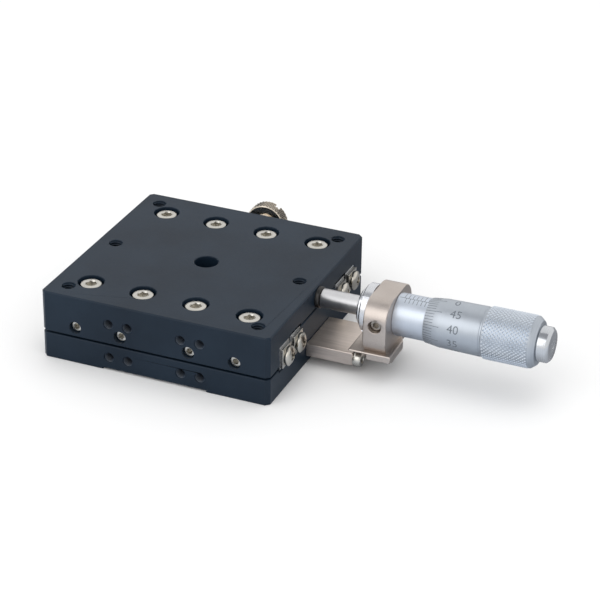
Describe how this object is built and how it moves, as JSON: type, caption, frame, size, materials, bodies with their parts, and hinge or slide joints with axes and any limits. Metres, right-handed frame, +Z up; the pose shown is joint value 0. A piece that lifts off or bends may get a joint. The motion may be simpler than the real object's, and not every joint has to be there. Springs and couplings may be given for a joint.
{
  "type": "linear translation stage",
  "caption": "Crossed-roller linear translation stage with a drilled table, a side-mounted micrometer drive, spring return and a rear clamp screw.",
  "frame": {"origin": "centre of the base's underside, with the table in the middle of its travel", "axes": "+X along the travel towards the micrometer, +Y towards the clamp side, +Z up out of the table's top face"},
  "size_m": [0.1218, 0.0696, 0.0213],
  "materials": {
    "black_anodise": "satin black anodised aluminium",
    "hardened_steel": "ground hardened steel",
    "stainless_screw": "stainless, lightly brushed",
    "bright_screw": "bright nickel plate",
    "dark_screw": "black oxide steel",
    "stainless_plate": "brushed stainless strip",
    "spring_steel": "drawn spring wire",
    "nickel_plate": "satin electroless nickel",
    "ground_steel": "ground and polished steel",
    "satin_chrome": "matt satin chrome",
    "polished_chrome": "polished chrome",
    "knurled_stainless": "knurled stainless",
    "cage_brass": "plain brass"
  },
  "bodies": {
    "base": {"base_plate": "black_anodise", "inner_rail_front": "hardened_steel", "inner_rail_rear": "hardened_steel", "inner_rail_screws": "stainless_screw", "inner_end_plates": "stainless_plate", "inner_end_screws": "bright_screw", "base_spring_pins": "hardened_steel", "return_spring_front": "spring_steel", "return_spring_rear": "spring_steel", "bracket_arm": "nickel_plate", "arm_screws": "stainless_screw", "holder_screws": "stainless_screw", "micrometer_holder": "nickel_plate", "lock_screw": "dark_screw", "micrometer_stem": "ground_steel", "graduated_sleeve": "satin_chrome", "adjusting_nut": "hardened_steel", "stem_nut": "nickel_plate", "clamp_block": "black_anodise", "clamp_block_screws": "stainless_screw"},
    "table": {"table_plate": "black_anodise", "outer_rail_front": "hardened_steel", "outer_rail_rear": "hardened_steel", "outer_rail_screws": "stainless_screw", "outer_end_plates": "stainless_plate", "outer_end_screws": "bright_screw", "preload_screws": "stainless_screw", "contact_button": "dark_screw", "table_spring_pins": "hardened_steel"},
    "cage_front": {"cage_front": "cage_brass", "rollers_front": "hardened_steel"},
    "cage_rear": {"cage_rear": "cage_brass", "rollers_rear": "hardened_steel"},
    "thimble": {"spindle": "ground_steel", "thimble": "satin_chrome", "thimble_cap": "polished_chrome"},
    "clamp_pad": {"clamp_pad": "cage_brass"},
    "clamp_screw": {"clamp_screw": "knurled_stainless"}
  },
  "joints": [
    {"name": "thimble_turn", "type": "hinge", "parent": "table", "child": "thimble", "pos_m": [0.06, 0, 0.01475], "axis": [1, 0, 0], "range_deg": [-4681, 4681]},
    {"name": "table_slide", "type": "slide", "parent": "base", "child": "table", "axis": [1, 0, 0], "range_m": [-0.0065, 0.0065], "deforming": ["return_spring_front", "return_spring_rear"]},
    {"name": "cage_front_slide", "type": "slide", "parent": "base", "child": "cage_front", "axis": [1, 0, 0], "range_m": [-0.00325, 0.00325]},
    {"name": "cage_rear_slide", "type": "slide", "parent": "base", "child": "cage_rear", "axis": [1, 0, 0], "range_m": [-0.00325, 0.00325]},
    {"name": "clamp_turn", "type": "hinge", "parent": "clamp_pad", "child": "clamp_screw", "pos_m": [0, 0.0355, 0.012], "axis": [0, -1, 0], "range_deg": [0, 180.1]},
    {"name": "clamp_feed", "type": "slide", "parent": "base", "child": "clamp_pad", "axis": [0, -1, 0], "range_m": [0, 0.00035]}
  ],
  "couplings": [
    {"joint": "thimble_turn", "follows": "table_slide", "rad_per_m": 12566},
    {"joint": "cage_front_slide", "follows": "table_slide", "ratio": 0.5},
    {"joint": "cage_rear_slide", "follows": "table_slide", "ratio": 0.5},
    {"joint": "clamp_turn", "follows": "clamp_feed", "rad_per_m": 8976}
  ]
}
